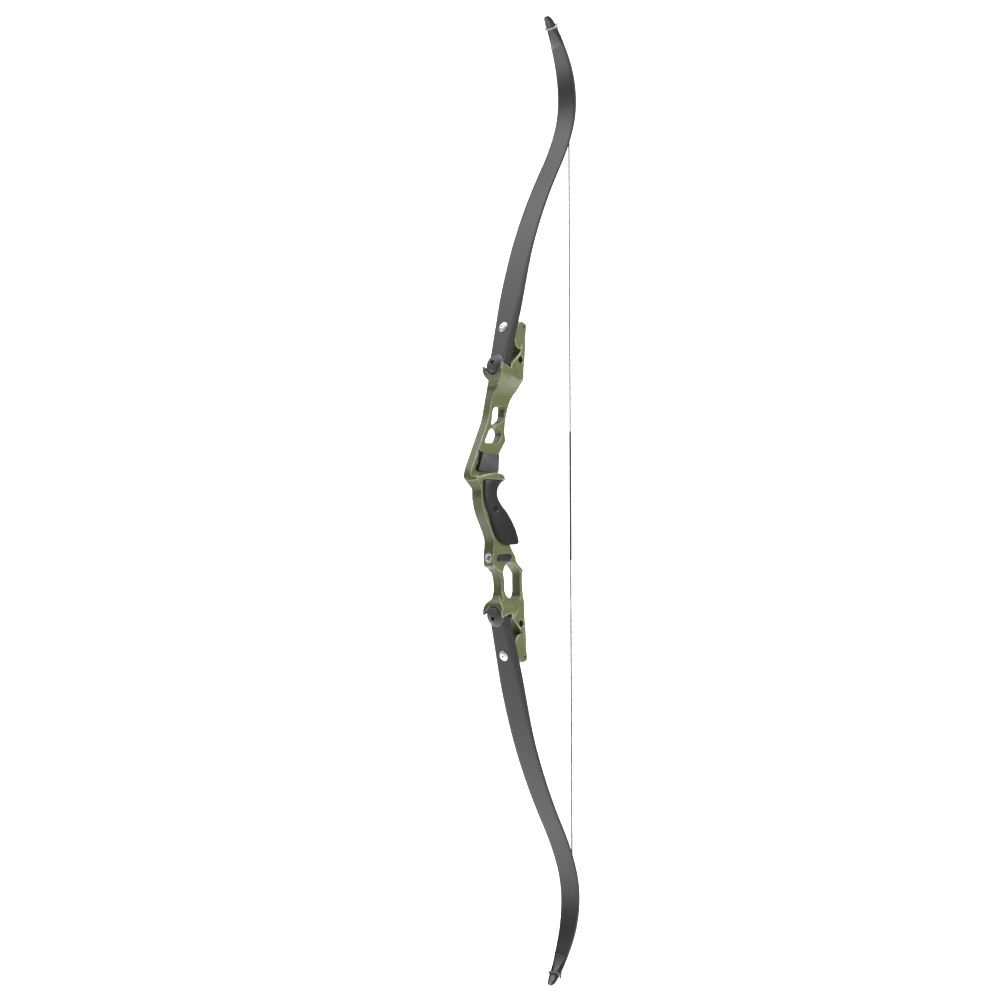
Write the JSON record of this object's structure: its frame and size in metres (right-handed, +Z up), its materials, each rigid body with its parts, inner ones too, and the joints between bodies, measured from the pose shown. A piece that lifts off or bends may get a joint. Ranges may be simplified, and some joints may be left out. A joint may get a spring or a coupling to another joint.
{
  "type": "take-down recurve bow",
  "caption": "Strung take-down recurve bow with an olive metal riser, black grip, two bolt-on laminate limbs and a bowstring.",
  "frame": {"origin": "centre of the mouth of the stabilizer bushing on the riser's front", "axes": "+Z up along the bow, -Y towards the target, +X towards the sight window side"},
  "size_m": [0.039, 0.234, 1.482],
  "materials": {
    "riser_paint": "satin olive-green enamel over aluminium",
    "grip_plastic": "fine-grained matt black",
    "plate_metal": "dark grey anodised, satin",
    "aluminium": "bare, brushed",
    "black_gloss": "glossy black",
    "limb_laminate": "clear-coated dark grey laminate",
    "steel": "plain turned steel",
    "bolt_metal": "dark grey anodised, satin",
    "brass": "plain brass",
    "string_fibre": "waxed twisted fibre",
    "serving_fibre": "tight wound thread"
  },
  "bodies": {
    "riser_group": {"riser": "riser_paint", "grip": "grip_plastic", "grip_screw": "steel", "side_plate": "plate_metal", "plate_strip": "aluminium", "badge_plaque": "black_gloss", "stabilizer_bushing": "steel", "cushion_bushing": "steel", "dowel_upper": "steel", "limb_screw_upper": "steel", "screw_washer_upper": "steel", "bolt_insert_upper": "brass", "lock_screw_upper": "steel", "align_screws_upper": "steel", "dowel_lower": "steel", "limb_screw_lower": "steel", "screw_washer_lower": "steel", "bolt_insert_lower": "brass", "lock_screw_lower": "steel", "align_screws_lower": "steel"},
    "washer_upper_group": {"thrust_washer_upper": "steel"},
    "bolt_upper_group": {"limb_bolt_upper": "bolt_metal"},
    "limb_upper_group": {"limb_upper": "limb_laminate", "tip_overlay_upper": "black_gloss", "loop_serving_upper": "serving_fibre"},
    "string_upper_group": {"string_upper": "string_fibre", "center_serving_upper": "serving_fibre"},
    "washer_lower_group": {"thrust_washer_lower": "steel"},
    "bolt_lower_group": {"limb_bolt_lower": "bolt_metal"},
    "limb_lower_group": {"limb_lower": "limb_laminate", "tip_overlay_lower": "black_gloss", "loop_serving_lower": "serving_fibre"},
    "string_lower_group": {"string_lower": "string_fibre", "center_serving_lower": "serving_fibre"}
  },
  "joints": [
    {"name": "bolt_travel_upper", "type": "slide", "parent": "riser_group", "child": "washer_upper_group", "axis": [0, -0.9532, 0.3024], "range_m": [0, 0.00423]},
    {"name": "bolt_turn_upper", "type": "hinge", "parent": "washer_upper_group", "child": "bolt_upper_group", "pos_m": [0, 0.0178, 0.2881], "axis": [0, -0.9532, 0.3024], "range_deg": [0, 1440]},
    {"name": "limb_flex_upper", "type": "hinge", "parent": "riser_group", "child": "limb_upper_group", "pos_m": [0, 0.0471, 0.333], "axis": [-1, 0, 0], "range_deg": [0, 25], "stiffness_Nm_per_rad": 60, "springref_deg": -34.38, "deforming": ["limb_upper", "loop_serving_upper"]},
    {"name": "string_swing_upper", "type": "hinge", "parent": "limb_upper_group", "child": "string_upper_group", "pos_m": [0, 0.1967, 0.7176], "axis": [1, 0, 0], "range_deg": [0, 58], "deforming": ["string_upper", "center_serving_upper"]},
    {"name": "bolt_travel_lower", "type": "slide", "parent": "riser_group", "child": "washer_lower_group", "axis": [0, -0.9532, -0.3024], "range_m": [0, 0.00423]},
    {"name": "bolt_turn_lower", "type": "hinge", "parent": "washer_lower_group", "child": "bolt_lower_group", "pos_m": [0, 0.0178, -0.0861], "axis": [0, -0.9532, -0.3024], "range_deg": [0, 1440]},
    {"name": "limb_flex_lower", "type": "hinge", "parent": "riser_group", "child": "limb_lower_group", "pos_m": [0, 0.0471, -0.131], "axis": [1, 0, 0], "range_deg": [0, 25], "stiffness_Nm_per_rad": 60, "springref_deg": -34.38, "deforming": ["limb_lower", "loop_serving_lower"]},
    {"name": "string_swing_lower", "type": "hinge", "parent": "limb_lower_group", "child": "string_lower_group", "pos_m": [0, 0.1967, -0.5156], "axis": [-1, 0, 0], "range_deg": [0, 58], "deforming": ["string_lower", "center_serving_lower"]}
  ],
  "couplings": [
    {"joint": "bolt_turn_upper", "follows": "bolt_travel_upper", "rad_per_m": 5937.1},
    {"joint": "bolt_turn_lower", "follows": "bolt_travel_lower", "rad_per_m": 5937.1},
    {"joint": "limb_flex_lower", "follows": "limb_flex_upper", "ratio": 1},
    {"joint": "string_swing_upper", "follows": "limb_flex_upper", "ratio": 2.316},
    {"joint": "string_swing_lower", "follows": "limb_flex_upper", "ratio": 2.316}
  ]
}
